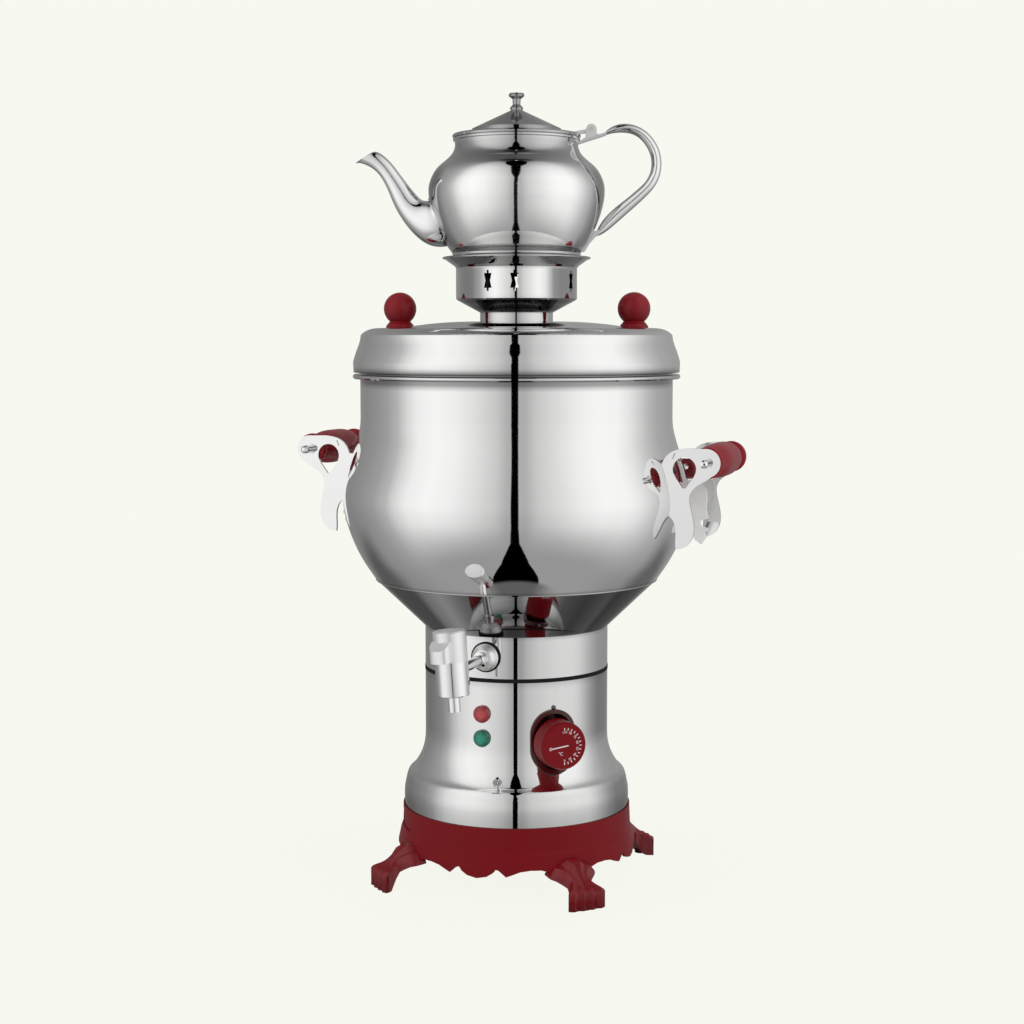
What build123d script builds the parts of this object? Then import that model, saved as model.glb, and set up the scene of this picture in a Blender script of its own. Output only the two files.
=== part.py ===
from build123d import *
import os
from math import asin, cos, degrees, hypot, radians, sin

# Electric samovar with a teapot on its lid. Millimetres, +Z up.
# The origin is on the floor, on the axis of the tank. The tap points along -Y, the handles along +-X.
# Heights in this drawing are measured from a little below the floor; save() puts the floor at zero.

# ---- driving dimensions ----
floor_level = 4.5           # height of the floor in this drawing
steel = 1.0                 # sheet thickness of the tank, lid and base
pot_steel = 0.8             # sheet thickness of the teapot and its stand
neck_radius = 131.2         # straight wall of the tank, outside
belly_radius = 146.3        # widest part of the tank
tank_top = 433.0
belly_height = 328.0
weld_radius = 118.8         # where the bowl is welded to the cone
weld_height = 259.0
collar_radius = 77.6        # straight collar under the cone, and the base shell below it
collar_top = 219.3
collar_bottom = 185.2
gasket_bottom = 182.0
base_bottom = 58.0          # lower edge of the base shell, inside the ring
floor_height = 191.0        # underside of the tank floor
ring_top = 66.0
ring_radius = 101.6         # base ring at its lower edge
foot_reach = 131.0          # axis to the front of a paw
foot_angles = {"front_right": 45, "front_left": -45, "rear_right": 135, "rear_left": -135}
front = {"tap": 0.0, "lamps": -2.5, "dial": 41.6}      # degrees round from the tap, towards +X
lamp_heights = {"red": 155.7, "green": 135.6}
lamp_radius = 7.2
dial_height = 133.0
bezel_width, bezel_height = 39.8, 52.8
knob_radius = 20.0
knob_back, knob_face = 81.6, 99.6                      # distances of the knob's two ends from the axis
tap_reach = 156.0           # axis to the centre of the tap
tap_lean = 4.0              # the tap leans this many degrees about its pipe
pipe_height = 203.0
tap_radius = 13.0
tap_bottom, tap_seam, tap_top = 185.7, 212.6, 236.7
nozzle_bottom = 173.2
grip_axis_reach = {"left": 175.6, "right": 171.5}      # tank axis to the rod through each grip
grip_heights = {"left": 366.8, "right": 361.8}
grip_front, grip_back = -35.0, 66.5                    # outer faces of the two ears of a handle
ear_thickness = 2.5
grip_radius = 14.3
lid_bottom = 433.0
lid_edge_radius, lid_edge_height = 137.1, 441.6
lid_top_radius, lid_top_height = 130.6, 465.4
lid_centre_height = 475.3
lid_knob_radius = 13.7
lid_knob_centre = 486.0
lid_knob_offset = 98.4
lid_knob_turn = 14.6                                    # the knobs' line, round from the X axis
steam_hole_radius = 26.0
stand_radius = 50.7
stand_collar_radius = 30.6
stand_cone_bottom, stand_cone_top = 482.7, 492.8
dish_bottom, dish_top, dish_radius = 521.6, 528.0, 61.5
pot_floor = 523.6
pot_angle = 18.6            # the line from spout to handle is turned this much from the X axis
mouth_radius, mouth_height = 51.9, 627.0
spout_port_height = 557.0
hinge_reach, hinge_height = 62.0, 634.1
knuckle_radius = 4.3
fit = 0.05                  # radial clearance of a running fit


# ---- helpers ----
def save(shape, node):
    """Write one node, with the floor at zero."""
    export_step(Pos(0, 0, -floor_level) * shape, f"parts/{node}.step")


def unit(a, b):
    length = hypot(b[0] - a[0], b[1] - a[1])
    return ((b[0] - a[0]) / length, (b[1] - a[1]) / length)


def run(*points, start=None, end=None):
    """A stretch of an outline: straight for two points, a smooth curve for more."""
    last = len(points) - 1
    tangents = [unit(points[max(i - 1, 0)], points[min(i + 1, last)]) for i in range(last + 1)]
    if start:
        tangents[0] = unit((0, 0), start)
    if end:
        tangents[-1] = unit((0, 0), end)
    return {"points": list(points), "tangents": tangents}


def inset(runs, distance):
    """The same runs moved sideways by a distance, with mitred corners."""
    moved = []
    for index, stretch in enumerate(runs):
        points = []
        last = len(stretch["points"]) - 1
        for i, ((r, z), here) in enumerate(zip(stretch["points"], stretch["tangents"])):
            other = here
            if i == 0 and index > 0:
                other = runs[index - 1]["tangents"][-1]
            if i == last and index < len(runs) - 1:
                other = runs[index + 1]["tangents"][0]
            share = distance / (1 + here[0] * other[0] + here[1] * other[1])
            points.append((r + share * (here[1] + other[1]), z - share * (here[0] + other[0])))
        moved.append({"points": points, "tangents": stretch["tangents"]})
    return moved


def edges_of(runs):
    edges = []
    for stretch in runs:
        points = [(r, 0, z) for r, z in stretch["points"]]
        if len(points) == 2:
            edges.append(Line(*points))
        else:
            ends = [(t[0], 0, t[1]) for t in (stretch["tangents"][0], stretch["tangents"][-1])]
            edges.append(Spline(*points, tangents=ends))
    return edges


def shell_of(runs, thickness):
    """A turned wall of even thickness, measured inwards from runs that go down the outside."""
    inner = inset(runs, thickness)
    first, last = runs[0]["points"][0], runs[-1]["points"][-1]
    ends = [run(first, inner[0]["points"][0]), run(last, inner[-1]["points"][-1])]
    return revolve(make_face(edges_of(runs) + edges_of(inner) + edges_of(ends)), axis=Axis.Z)


def core_of(runs):
    """The full turned solid inside runs that go down the outside."""
    first, last = runs[0]["points"][0], runs[-1]["points"][-1]
    axis_line = [run(first, (0, first[1])), run((0, first[1]), (0, last[1])), run((0, last[1]), last)]
    return revolve(make_face(edges_of(runs) + edges_of(axis_line)), axis=Axis.Z)


def turned(*points):
    """A solid turned about the axis from a closed outline of straight lines."""
    return revolve(make_face(Polyline([(r, 0, z) for r, z in points], close=True)), axis=Axis.Z)


def outward(angle, reach=0.0, height=0.0):
    """A frame on the side of the body: its z points outwards, its y up, its x to the right."""
    a = radians(angle)
    place = (reach * sin(a), -reach * cos(a), height)
    return Plane(origin=place, x_dir=(cos(a), sin(a), 0), z_dir=(sin(a), -cos(a), 0))


def peg(plane, radius, depth, start=0.0):
    """A round bar along a frame's z."""
    return plane * Pos(0, 0, start) * Cylinder(radius, depth, align=(Align.CENTER, Align.CENTER, Align.MIN))


def prism(plane, sketch, depth, start=0.0):
    """A flat outline pushed along a frame's z."""
    return extrude(plane * Pos(0, 0, start) * sketch, amount=depth, dir=plane.z_dir)


def outline(*points):
    return make_face(Polyline([(x, y, 0) for x, y in points], close=True))


def smooth_outline(*points):
    return make_face(Spline([(x, y, 0) for x, y in points], periodic=True))


# ---- tank ----
wall_runs = [
    run((neck_radius, tank_top), (neck_radius, 395.0)),
    run((neck_radius, 395.0), (134.4, 376.0), (141.3, 354.3), (belly_radius, belly_height),
        (142.9, 306.0), (135.6, 286.5), (weld_radius, weld_height), start=(0, -1), end=(-0.72, -1)),
    run((weld_radius, weld_height), (collar_radius, collar_top)),
    run((collar_radius, collar_top), (collar_radius, collar_bottom)),
]
tank_outside = core_of(wall_runs)


def build_tank():
    shell = shell_of(wall_runs, steel)
    rim = turned((neck_radius - steel, 427.6), (136.2, 427.6), (137.4, 428.7), (137.4, 430.4),
                 (136.2, 431.5), (neck_radius - steel, 431.5))
    above = Pos(0, 0, weld_height) * Box(400, 400, 400, align=(Align.CENTER, Align.CENTER, Align.MIN))
    tap_hole = peg(outward(front["tap"], 0, pipe_height), 5.1, 100)
    save((shell & above) + rim, "tank_bowl")
    save(shell - above - tap_hole, "tank_cone")


element_radius, element_height, element_wire = 48.0, 205.0, 4.0
leg_angles = (165, 195)


def build_heater():
    inside = collar_radius - steel
    floor = turned((0, floor_height), (inside, floor_height), (inside, floor_height + 7),
                   (inside - steel, floor_height + 7), (inside - steel, floor_height + steel),
                   (0, floor_height + steel))
    ring = Pos(0, 0, element_height) * Rot(0, 0, -90 + leg_angles[1]) * revolve(
        make_face(Edge.make_circle(element_wire, Plane((element_radius, 0, 0), z_dir=(0, 1, 0)))),
        axis=Axis.Z, revolution_arc=330)
    bushes = []
    for angle in leg_angles:
        spot = outward(angle, element_radius)
        at = Pos(spot.origin.X, spot.origin.Y, 0)
        ring += at * Pos(0, 0, element_height) * Sphere(element_wire)
        ring += at * Pos(0, 0, 172) * Cylinder(element_wire, element_height - 172,
                                               align=(Align.CENTER, Align.CENTER, Align.MIN))
        floor -= at * Pos(0, 0, floor_height) * Cylinder(5.5, 10)
        bush = at * turned((element_wire, 184), (9, 184), (9, floor_height), (5.5, floor_height),
                           (5.5, floor_height + steel), (8, floor_height + steel), (8, 196.5),
                           (element_wire, 196.5))
        bushes.append(bush)
    save(floor, "tank_floor")
    save(ring, "heating_element")
    save(Compound(bushes), "element_bushes")
    cutout = Pos(0, -22, 0) * (turned((0, 186), (8.5, 186), (8.5, floor_height), (0, floor_height))
                               + Pos(0, 0, 183.5) * Box(11, 5, 5))
    save(cutout, "thermal_cutout")
    bulb = Pos(18, 18, 187.8) * Rot(0, 90, 0) * Cylinder(3.2, 46)
    route = FilletPolyline((41, 18, 187.8), (52, 10, 187.8), (57, -8, 172), (52, -26, 150), radius=6)
    capillary = sweep(Plane(origin=route @ 0, z_dir=route % 0) * Circle(0.9), path=route)
    save(bulb + capillary, "sensor_bulb")
    shield = turned((0, 168), (60, 168), (60, 171), (61, 171), (61, 169.2), (0, 169.2))
    for angle in (0, 60, 180, 240, 300):
        shield -= Rot(0, 0, angle) * Pos(40, 0, 168) * Cylinder(9, 6)
    for angle in leg_angles:
        spot = outward(angle, element_radius)
        shield -= Pos(spot.origin.X, spot.origin.Y, 168) * Cylinder(7, 6)
    shield -= Pos(55.3, -10, 168) * Cylinder(3.4, 6)
    for angle in (90, 210, 330):
        shield += Rot(0, 0, angle) * Pos(27, 0, 169.2) * Cylinder(
            3, floor_height - 169.2, align=(Align.CENTER, Align.CENTER, Align.MIN))
    save(shield, "heat_shield")


# ---- base ----
skirt_runs = [
    run((collar_radius, gasket_bottom), (collar_radius, 132.0)),
    run((collar_radius, 132.0), (78.4, 119.0), (81.0, 109.5), (85.6, 100.8), (90.6, 95.2), start=(0, -1),
        end=(1.1, -0.8)),
    run((90.6, 95.2), (93.2, 91.0), (94.6, 85.0), (95.8, 74.0), start=(1.1, -0.8), end=(0, -1)),
    run((95.8, 74.0), (95.8, base_bottom)),
]


def slot(margin):
    """The oval of the bezel, drawn in by a margin."""
    return SlotOverall(bezel_height - 2 * margin, bezel_width - 2 * margin, rotation=90)


inlet_width, inlet_height, inlet_z = 28.0, 20.0, 152.0


def build_base_shell():
    shell = shell_of(skirt_runs, steel)
    shell += turned((62, gasket_bottom - steel), (collar_radius - 0.5, gasket_bottom - steel),
                    (collar_radius - 0.5, gasket_bottom), (62, gasket_bottom))
    shell -= prism(outward(front["dial"], 40, dial_height), slot(1.5), 60)
    for height in lamp_heights.values():
        shell -= peg(outward(front["lamps"], 40, height), 5.6, 60)
    shell -= prism(outward(180, 40, inlet_z), Rectangle(inlet_width, inlet_height), 60)
    save(shell, "base_shell")
    save(turned((64, gasket_bottom), (collar_radius + 0.3, gasket_bottom),
                (collar_radius + 0.3, collar_bottom), (64, collar_bottom)), "gasket_ring")


def build_ring():
    runs = [run((96.9, ring_top), (97.7, 47.2)), run((97.7, 47.2), (99.0, 44.4)),
            run((99.0, 44.4), (101.2, 34.0)), run((101.2, 34.0), (ring_radius, 24.0))]
    body = core_of(runs) - core_of(inset(runs, 3.2))
    body = body - Pos(0, 0, ring_top) * Cylinder(96.15, 16) - Pos(0, 0, 24) * Cylinder(97.4, 2)
    body += turned((84, 53), (95.5, 53), (95.5, base_bottom), (84, base_bottom))
    lobe, notch, tip, arch = 25.4, 33.2, 27.3, 32.7
    lobe_half, tip_half = 15.6, 24.2
    half = [(0, lobe), (8.5, lobe + 1.7), (13.4, lobe + 4.8), (lobe_half, notch), (18.2, notch - 0.6),
            (tip_half, tip), (28.5, tip + 1.6), (35.0, arch - 1.2), (43.0, arch), (51.0, arch - 0.2),
            (56.5, arch - 2.2), (60.0, arch - 5.0)]
    edge = [(-x, z) for x, z in reversed(half[1:])] + half
    scallop = outline(*edge, (72, 26), (72, 15), (-72, 15), (-72, 26))
    for angle in (0, 90, 180, 270):
        body -= prism(outward(angle, 60), scallop, 60)
    niche = Pos(0, 0, 55) * (Cylinder(110, 14) - Cylinder(96.2, 20))
    niche = niche & prism(outward(-61, 60), Rectangle(44, 200), 60)
    save(body - niche, "base_ring")
    return core_of(runs)


def build_feet(ring_core):
    sole = floor_level + 0.6
    side = make_face([
        Spline([(94, 45, 0), (103, 42.5, 0), (110, 36.2, 0), (117, 29.0, 0), (123.4, 23.6, 0),
                (128.6, 21.8, 0)]),
        Polyline([(128.6, 21.8, 0), (foot_reach, sole, 0), (121, sole, 0)]),
        Spline([(121, sole, 0), (117.4, 11.0, 0), (113.4, 19.0, 0), (106, 25.2, 0), (94, 27.0, 0)]),
        Line((94, 27.0, 0), (94, 45, 0))])
    right_edge = [(94, 21), (104, 20.4), (109, 14.6), (113, 9.9), (117, 9.3), (121, 12.2), (125, 15.4),
                  (foot_reach + 2, 16.6)]
    plan = make_face([
        Spline([(x, y, 0) for x, y in right_edge]),
        Line((foot_reach + 2, 16.6, 0), (foot_reach + 2, -16.6, 0)),
        Spline([(x, -y, 0) for x, y in reversed(right_edge)]),
        Line((94, -21, 0), (94, 21, 0))])
    side_plane = Plane(origin=(0, 0, 0), x_dir=(1, 0, 0), z_dir=(0, -1, 0))
    foot = extrude(side_plane * side, amount=30, both=True) & extrude(plan, amount=60)
    fan = Plane(origin=(60, 0, 18), x_dir=(0, 1, 0), z_dir=(1, 0, 0)) * Circle(23.0)
    foot -= (Pos(60, 0, 18) * Box(51, 60, 60, align=(Align.MIN, Align.CENTER, Align.MIN))
             - extrude(fan, amount=51))
    toe_bend = 80.0
    foot = foot & (Pos(foot_reach - toe_bend, 0, 0) * Cylinder(toe_bend, 200) + Box(220, 80, 200))
    for offset, reach in ((-8.2, 130.8), (0, 131.6), (8.2, 130.8)):
        foot -= Pos(reach, offset, 0) * Rot(0, -8, 0) * Cylinder(1.9, 80)
    pad_reach = 123.5
    foot -= Pos(pad_reach, 0, floor_level) * Cylinder(5.1, 6)
    foot -= ring_core
    pads = []
    for name, angle in foot_angles.items():
        turn = Rot(0, 0, angle - 90)
        save(turn * foot, f"foot_{name}")
        pads.append(turn * Pos(pad_reach, 0, floor_level) * Cylinder(
            5.0, 3.0, align=(Align.CENTER, Align.CENTER, Align.MIN)))
    save(Compound(pads), "foot_pads")


def build_base_inside():
    plate = turned((0, 51), (93, 51), (93, 53), (0, 53))
    screws = []
    for angle in (0, 90, 180, 270):
        at = Rot(0, 0, angle) * Pos(89, 0, 0)
        plate -= at * Pos(0, 0, 51) * Cylinder(2.0, 10)
        screws.append(at * turned((0, 49), (4, 49), (4, 51), (2.0, 51), (2.0, 53), (0, 53)))
    save(plate, "base_plate")
    save(Compound(screws), "base_screws")
    block = Pos(-20, 30, 53) * Box(46, 18, 16, align=(Align.CENTER, Align.CENTER, Align.MIN))
    for x in (-35, -20, -5):
        block -= Pos(x, 30, 69) * Cylinder(3, 12)
    save(block, "terminal_block")
    back = outward(180, 0, inlet_z)
    shape = Rectangle(inlet_width + 6, inlet_height + 6)
    inlet = prism(back, shape, 6, 74.6) - Pos(0, 0, inlet_z) * Cylinder(collar_radius, 60)
    inlet += prism(back, Rectangle(inlet_width - 0.4, inlet_height - 0.4), 25.6, 55)
    inlet -= prism(back, Rectangle(inlet_width - 5, inlet_height - 6), 20, 62)
    for x in (-7, 0, 7):
        inlet += Pos(x, 0, 0) * prism(back, Rectangle(2, 4), 14, 62)
    save(inlet, "mains_inlet")


def build_lamps():
    for name, height in lamp_heights.items():
        face = outward(front["lamps"], 0, height)
        barrel, shoulder = 5.3, collar_radius + 0.2
        lens = face * turned((0, 60), (barrel, 60), (barrel, shoulder), (lamp_radius, shoulder),
                             (lamp_radius, 79.6), (6.2, 81.4), (4.0, 82.6), (0, 83.0))
        save(lens, f"lamp_{name}")


def build_thermostat():
    face = outward(front["dial"], 0, dial_height)
    proud = core_of(inset(skirt_runs, -1.7))
    flange = prism(face, slot(0), 60, 40) & (proud - core_of(skirt_runs))
    cup = prism(face, slot(1.7), 40, 58.5) & proud
    bezel = flange + cup - prism(face, slot(3.4), 40, 60.5) - peg(face, 3.4, 40, 50)
    save(bezel, "thermostat_bezel")
    body = prism(face, Rectangle(34, 34), 22, 36) + peg(face, 12, 0.5, 58)
    save(body - peg(face, 3.0 + fit, 40, 48), "thermostat_body")
    knob = revolve(face * make_face(Polyline([
        (0, 0, knob_back), (knob_radius - 1.2, 0, knob_back), (knob_radius, 0, knob_back + 1.5),
        (knob_radius - 0.4, 0, knob_face - 2.0), (knob_radius - 1.6, 0, knob_face),
        (0, 0, knob_face)], close=True)), axis=Axis(face.origin, face.z_dir))
    shaft = peg(face, 3.0, 43.0, 50)
    save(knob - shaft - peg(face, 9, 3.0, knob_back), "thermostat_knob")
    save(shaft, "thermostat_shaft")


# ---- tap ----
lean = Pos(0, 0, pipe_height) * Rot(0, -tap_lean, 0) * Pos(0, 0, -pipe_height)
tap_place = lean * Pos(0, -tap_reach, 0)


def build_tap():
    out = outward(front["tap"], 0, pipe_height)
    bore, thread, pipe_radius = 3.0, 5.0, 4.3
    nozzle_radius, nozzle_bore, chamber = 4.9, 3.4, 9.5
    chamber_floor = tap_bottom + 4
    inner_wall, outer_wall = collar_radius - steel, collar_radius

    def along(*points):
        return out * turned(*points)

    end = tap_reach - tap_radius + 1.5
    pipe = along((bore, 62), (thread, 62), (thread, 90), (6.2, 90), (6.2, 93), (pipe_radius, 94),
                 (pipe_radius, end), (bore, end))
    save(pipe, "tap_pipe")
    dome = along((thread, outer_wall + 0.4), (11.0, outer_wall + 0.4), (11.2, 80.0), (9.6, 84.0),
                 (7.2, 86.6), (thread, 87.6))
    rosette = out * turned((thread, 74), (12.5, 74), (12.5, 78.9), (thread, 78.9)) - tank_outside
    save(dome - rosette, "tap_flange")
    washer = rosette - Cylinder(collar_radius, 500)
    save(washer, "tap_washer")
    hexagon = RegularPolygon(10, 6)
    nut = prism(out, hexagon, 6, 66) - peg(out, thread, 20, 60)
    save(nut, "tap_backnut")

    body = turned((0, tap_bottom), (tap_radius - 0.8, tap_bottom), (tap_radius, tap_bottom + 0.8),
                  (tap_radius, tap_seam), (0, tap_seam))
    body += turned((0, nozzle_bottom), (nozzle_radius, nozzle_bottom), (nozzle_radius, tap_bottom + 1),
                   (0, tap_bottom + 1))
    body -= turned((0, nozzle_bottom - 1), (nozzle_bore, nozzle_bottom - 1), (nozzle_bore, chamber_floor),
                   (0, chamber_floor))
    body -= turned((0, chamber_floor), (chamber, chamber_floor), (chamber, tap_seam + 1), (0, tap_seam + 1))
    body = tap_place * body
    body -= peg(out, pipe_radius, 30, tap_reach - tap_radius - 20)
    save(body, "tap_body")

    stem_radius, stem_top = 5.0, tap_top - 4
    cap = turned((stem_radius, tap_seam), (tap_radius, tap_seam), (tap_radius, tap_top - 1.0),
                 (tap_radius - 1.0, tap_top), (0, tap_top), (0, stem_top), (stem_radius, stem_top))
    lever = smooth_outline((-8.5, -4), (-8.7, 9), (-7.2, 17.2), (0, 19.2), (7.2, 17.2), (8.7, 9), (8.5, -4),
                           (0, -6))
    blade = extrude(lever, amount=17.0)
    slope = Plane(origin=(0, 0, 0), x_dir=(0, 1, 0), z_dir=(1, 0, 0))
    wedge = outline((-8, 1.5), (11, 1.5), (20, 0.3), (20, 9.5), (12.0, 17.0), (-8, 17.0))
    lever_solid = blade & extrude(slope * wedge, amount=12, both=True)
    lever_solid = Pos(0, 0, tap_seam) * Rot(0, 0, 180 - 16) * lever_solid
    cap = cap + (lever_solid - Pos(0, 0, tap_seam) * Cylinder(stem_radius, 60))
    save(tap_place * cap, "tap_cap")
    stem_bottom = tap_bottom + 12
    stem = turned((0, stem_bottom), (3, stem_bottom), (3, tap_seam - 6), (chamber - fit, tap_seam - 6),
                  (chamber - fit, tap_seam - 1), (stem_radius, tap_seam - 1), (stem_radius, stem_top),
                  (0, stem_top))
    save(tap_place * stem, "valve_stem")
    plug_bottom = chamber_floor + 0.2
    plug = turned((0, plug_bottom), (6.5, plug_bottom), (6.5, tap_bottom + 9), (4.5, stem_bottom + 2),
                  (3, stem_bottom + 2), (3, stem_bottom), (0, stem_bottom))
    save(tap_place * plug, "valve_plug")


# ---- handles ----
window_centre = (-17.8, -5.0)
window_radius = 9.6
lobe_radius = 11.6


def ear_sketch():
    """One pierced ear, drawn from its grip rod: x outwards, y up. Its inner edge is cut by the tank."""
    shape = make_face([
        Line((-60, -3.0, 0), (-37.0, -3.0, 0)),
        Spline([(-37.0, -3.0, 0), (-33.4, 4.4, 0), (-27.0, 9.4, 0), (-14, 11.8, 0), (0, lobe_radius, 0)],
               tangents=[(0.25, 1, 0), (1, 0, 0)]),
        ThreePointArc((0, lobe_radius, 0), (lobe_radius, 0, 0), (4.2, -10.8, 0)),
        Spline([(4.2, -10.8, 0), (-2.0, -15.2, 0), (-10.4, -21.0, 0), (-13.4, -27.4, 0), (-12.8, -35.0, 0),
                (-9.8, -49.5, 0), (-10.8, -60.0, 0), (-16.4, -67.4, 0), (-24.4, -69.8, 0)]),
        Spline([(-24.4, -69.8, 0), (-24.8, -64.0, 0), (-24.8, -54.0, 0), (-27.6, -45.6, 0),
                (-34.0, -42.0, 0)]),
        Line((-34.0, -42.0, 0), (-60, -42.0, 0)),
        Line((-60, -42.0, 0), (-60, -3.0, 0))])
    tail = outline((-8.2, -5.6), (8.2, -5.6), (1.2, -15.4), (-1.2, -15.4))
    window = Pos(*window_centre) * (Circle(window_radius) + tail)
    slit = Pos(-26.6, 5.6) * Rot(0, 0, 68) * Rectangle(5.0, 0.9)
    return shape - window - slit - Circle(2.6)


def handle_plane(side, y, height):
    """x points away from the tank, y up, z towards the front, for either side."""
    sign = 1 if side == "right" else -1
    return Plane(origin=(sign * grip_axis_reach[side], y, height), x_dir=(sign, 0, 0), z_dir=(0, -sign, 0))


def flat_piece(side, y, height, sketch, thickness):
    """A flat outline laid in the upright plane through a handle, from y towards +Y."""
    plane = handle_plane(side, y, height)
    amount = -thickness if side == "right" else thickness
    return extrude(plane * sketch, amount=amount)


def build_handles():
    tank_grown = core_of(inset(wall_runs, -1.6)) - tank_outside
    rods, nuts, rivets = [], [], []
    rod_end = 9.0           # how far a rod stands out of each ear, inside its nut
    for side, height in grip_heights.items():
        sign = 1 if side == "right" else -1
        for end, y in (("front", grip_front), ("rear", grip_back - ear_thickness)):
            plate = flat_piece(side, y, height, ear_sketch(), ear_thickness)
            depth = 9.0
            start = y if end == "front" else y + ear_thickness - depth
            box = Pos(sign * 150, start, height - 22.5) * Box(
                120, depth, 39, align=(Align.CENTER, Align.MIN, Align.CENTER))
            flange = tank_grown & box
            flange -= flat_piece(side, y - 1, height, Pos(*window_centre) * Circle(window_radius), 4.5)
            save((plate - tank_outside) + flange, f"ear_{side}_{end}")
            for drop in (10.0, 35.0):
                z = height - drop
                y_mid = start + depth * (0.62 if end == "front" else 0.28)
                surface = radius_at(z)
                swing = degrees(asin(y_mid / surface))
                spot = outward(90 + swing if side == "right" else -90 - swing, surface - 1.2, z)
                rivets.append(peg(spot, 2.2, 4.2) - tank_grown - tank_outside)
        crest_y = (grip_front + grip_back) / 2 - 2
        save(build_crest(side, crest_y, height), f"crest_{side}")
        low, high = grip_front + ear_thickness, grip_back - ear_thickness
        place = Pos(sign * grip_axis_reach[side], 0, height) * Rot(-90, 0, 0)
        save(place * build_grip(low, high), f"grip_{side}")
        rods.append(place * Pos(0, 0, grip_front - rod_end) * Cylinder(
            2.5, grip_back - grip_front + 2 * rod_end, align=(Align.CENTER, Align.CENTER, Align.MIN)))
        for y, flip in ((grip_front, 180), (grip_back, 0)):
            nut = turned((2.5, 0), (4.9, 0), (4.9, 1.6), (3.7, 1.6), (3.7, 8.4), (3.2, 10.4), (1.9, 11.8),
                         (0, 12.3), (0, rod_end), (2.5, rod_end))
            nuts.append(place * Pos(0, 0, y) * Rot(flip, 0, 0) * nut)
    save(Compound(rods), "grip_rods")
    save(Compound(nuts), "acorn_nuts")
    save(Compound(rivets), "ear_rivets")


def radius_at(z):
    """Outer radius of the tank at a height, from a thin slice of its solid."""
    slice_box = (tank_outside & Pos(0, 0, z) * Box(400, 400, 0.2)).bounding_box()
    return slice_box.max.X


def build_crest(side, y, height):
    claw, notch = 3.0, 3.4
    top = [(-60, -17.6), (-20, -17.6), (-14.4, -19.6), (-11.2, -24.6), (-10.2, -32.0), (-11.0, -42.0),
           (-9.4, -46.8), (-9.0, -48.8), (-12.2, -49.6)]
    bottom = [(-12.2, -56.4), (-9.0, -57.2), (-9.6, -59.4), (-12.5, -61.0), (-10.6, -64.5), (-14.6, -70.8),
              (-20.0, -67.0), (-22, -62), (-60, -60)]
    shape = make_face([Polyline([(x, z, 0) for x, z in top]),
                       ThreePointArc((-12.2, -49.6, 0), (-12.2 - notch, -53.0, 0), (-12.2, -56.4, 0)),
                       Polyline([(x, z, 0) for x, z in bottom]),
                       Line((-60, -60, 0), (-60, -17.6, 0))])
    plate = flat_piece(side, y, height, shape, claw)
    return plate - tank_outside


def build_grip(low, high):
    """A barrel between two end rings, along Z from low to high."""
    half = (high - low) / 2
    ring, groove, shoulder = grip_radius - 1.8, grip_radius - 4.6, grip_radius - 3.0
    profile = [run((5.5, half), (ring - 0.8, half)),
               run((ring - 0.8, half), (ring, half - 1.4), (ring, half - 6.4), (groove, half - 8.2)),
               run((groove, half - 8.2), (groove, half - 9.8)),
               run((groove, half - 9.8), (shoulder, half - 15.5), (grip_radius - 0.4, half - 30),
                   (grip_radius, 0), (grip_radius - 0.4, 30 - half), (shoulder, 15.5 - half),
                   (groove, 9.8 - half)),
               run((groove, 9.8 - half), (groove, 8.2 - half)),
               run((groove, 8.2 - half), (ring, 6.4 - half), (ring, 1.4 - half), (ring - 0.8, -half)),
               run((ring - 0.8, -half), (5.5, -half))]
    bore = [run((5.5, -half), (2.5, -half)), run((2.5, -half), (2.5, half)), run((2.5, half), (5.5, half))]
    return Pos(0, 0, (low + high) / 2) * revolve(make_face(edges_of(profile + bore)), axis=Axis.Z)


# ---- lid ----
lid_runs = [
    run((steam_hole_radius, lid_centre_height), (70, 473.6), (110, 469.8), (126.5, 467.2),
        (lid_top_radius, lid_top_height - 1.6), start=(1, 0), end=(0.7, -1)),
    run((lid_top_radius, lid_top_height - 1.6), (134.4, 450.5), (lid_edge_radius, lid_edge_height),
        start=(0.06, -1), end=(0.25, -1)),
    run((lid_edge_radius, lid_edge_height), (136.8, lid_bottom)),
]


def lid_height_at(radius):
    """Height of the lid's top at a radius, near enough to seat a knob on."""
    points = lid_runs[0]["points"]
    for (r0, z0), (r1, z1) in zip(points, points[1:]):
        if r0 <= radius <= r1:
            return z0 + (z1 - z0) * (radius - r0) / (r1 - r0)
    return lid_top_height


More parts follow.
